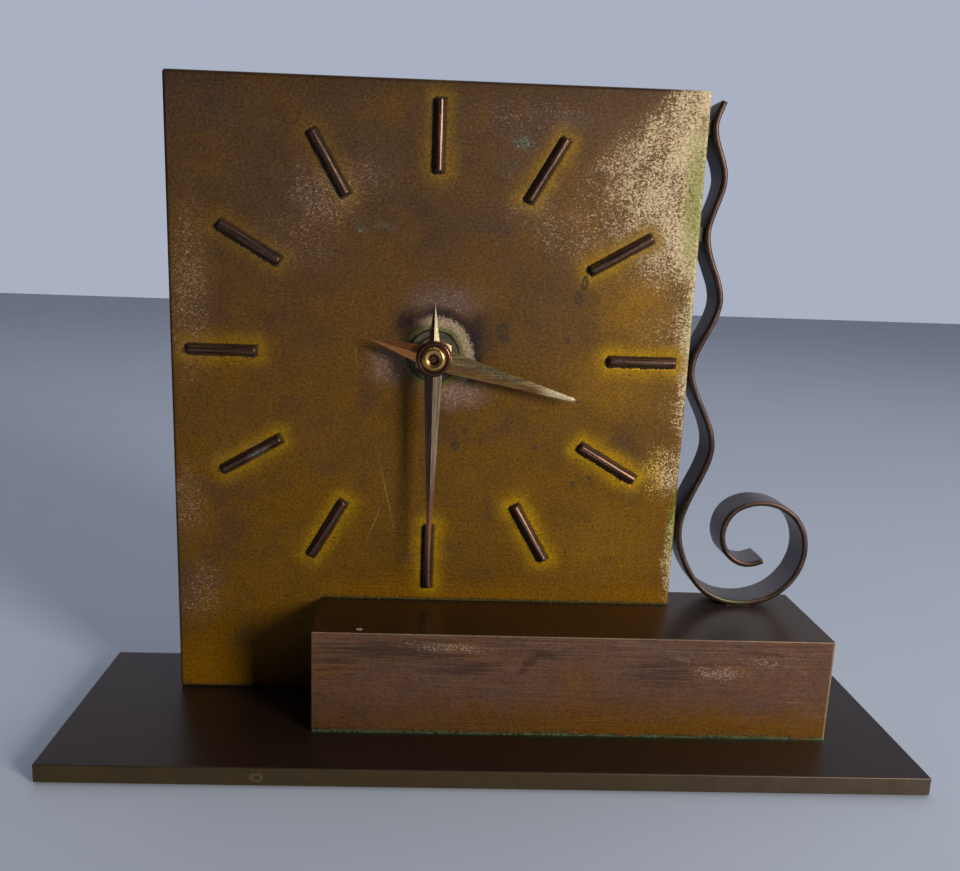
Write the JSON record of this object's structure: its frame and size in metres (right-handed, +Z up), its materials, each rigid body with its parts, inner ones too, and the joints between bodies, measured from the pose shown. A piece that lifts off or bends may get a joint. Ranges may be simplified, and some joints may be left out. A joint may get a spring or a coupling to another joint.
{
  "type": "mantel clock",
  "caption": "Free-standing square-dial brass mantel clock with an L-shaped plinth on a thin base slab and a wavy side strip that ends in a scroll.",
  "frame": {"origin": "middle of the base slab's outline, on the plane the felt pads stand on", "axes": "+X to the right as seen from the dial side, +Y to the back, +Z up"},
  "size_m": [0.3, 0.089, 0.2327],
  "materials": {
    "brass": "aged, dull",
    "brass_face": "aged, worn satin",
    "brass_plinth": "aged, brushed along its length",
    "brass_strip": "dark patina, satin",
    "brass_bright": "satin",
    "solder": "dull solder",
    "steel": "plain",
    "felt": "felt",
    "rubber": "matt",
    "moulding": "fine spark texture",
    "wheel_moulding": "moulded",
    "cell_label": "gloss sleeve",
    "contact": "nickel plate",
    "winding": "enamelled wire",
    "board": "lacquered laminate",
    "magnet": "sintered"
  },
  "bodies": {
    "clock_case": {"base_plate": "brass", "felt_pads": "felt", "base_screws": "steel", "plinth_box": "brass_plinth", "plinth_blocks": "brass", "case_shell": "brass_face", "case_blocks": "brass", "rear_panel": "brass", "corner_lugs": "brass", "rear_screws": "steel", "scroll_strip": "brass_strip", "solder_pads": "solder", "dial_washer": "brass_bright", "dial_nut": "brass_bright", "dial_gasket": "rubber", "movement_case": "moulding", "movement_cover": "moulding", "train_plate": "moulding", "battery_cell": "cell_label", "contact_positive": "contact", "contact_negative": "contact", "stator_plate": "steel", "coil_bobbin": "moulding", "coil_winding": "winding", "circuit_board": "board", "quartz_crystal": "contact", "hour_marker_01": "brass_bright", "hour_marker_02": "brass_bright", "hour_marker_03": "brass_bright", "hour_marker_04": "brass_bright", "hour_marker_05": "brass_bright", "hour_marker_06": "brass_bright", "hour_marker_07": "brass_bright", "hour_marker_08": "brass_bright", "hour_marker_09": "brass_bright", "hour_marker_10": "brass_bright", "hour_marker_11": "brass_bright", "hour_marker_12": "brass_bright"},
    "minute_hand_set": {"minute_hand": "brass_bright", "hand_nut": "brass_bright", "centre_wheel": "brass_bright"},
    "hour_hand_set": {"hour_hand": "brass_bright", "hour_wheel": "brass_bright"},
    "minute_wheel_set": {"minute_wheel": "wheel_moulding"},
    "third_wheel_set": {"third_wheel": "wheel_moulding"},
    "second_wheel_set": {"second_wheel": "wheel_moulding"},
    "fifth_wheel_set": {"fifth_wheel": "wheel_moulding"},
    "rotor_set": {"rotor_pinion": "wheel_moulding", "rotor_magnet": "magnet"},
    "setting_set": {"setting_shaft": "wheel_moulding", "setting_knob": "moulding"}
  },
  "joints": [
    {"name": "minute_hand_turn", "type": "hinge", "parent": "clock_case", "child": "minute_hand_set", "pos_m": [-0.022, 0.016, 0.1384], "axis": [0, 1, 0], "continuous": true},
    {"name": "hour_hand_turn", "type": "hinge", "parent": "clock_case", "child": "hour_hand_set", "pos_m": [-0.022, 0.016, 0.1384], "axis": [0, 1, 0], "continuous": true},
    {"name": "minute_wheel_turn", "type": "hinge", "parent": "clock_case", "child": "minute_wheel_set", "pos_m": [-0.01411, 0.016, 0.13553], "axis": [0, 1, 0], "continuous": true},
    {"name": "third_wheel_turn", "type": "hinge", "parent": "clock_case", "child": "third_wheel_set", "pos_m": [-0.0335, 0.016, 0.14259], "axis": [0, 1, 0], "continuous": true},
    {"name": "second_wheel_turn", "type": "hinge", "parent": "clock_case", "child": "second_wheel_set", "pos_m": [-0.022, 0.016, 0.1384], "axis": [0, 1, 0], "continuous": true},
    {"name": "setting_turn", "type": "hinge", "parent": "clock_case", "child": "setting_set", "pos_m": [-0.00649, 0.016, 0.13198], "axis": [0, 1, 0], "continuous": true},
    {"name": "rotor_turn", "type": "hinge", "parent": "clock_case", "child": "rotor_set", "pos_m": [-0.00788, 0.016, 0.15], "axis": [0, 1, 0], "continuous": true},
    {"name": "fifth_wheel_turn", "type": "hinge", "parent": "clock_case", "child": "fifth_wheel_set", "pos_m": [-0.0135, 0.016, 0.1433], "axis": [0, 1, 0], "continuous": true}
  ],
  "couplings": [
    {"joint": "hour_hand_turn", "follows": "minute_hand_turn", "ratio": 0.083333},
    {"joint": "minute_wheel_turn", "follows": "minute_hand_turn", "ratio": -0.33333},
    {"joint": "setting_turn", "follows": "minute_hand_turn", "ratio": 1},
    {"joint": "third_wheel_turn", "follows": "minute_hand_turn", "ratio": -8},
    {"joint": "second_wheel_turn", "follows": "minute_hand_turn", "ratio": 60},
    {"joint": "fifth_wheel_turn", "follows": "rotor_turn", "ratio": -0.16667}
  ]
}
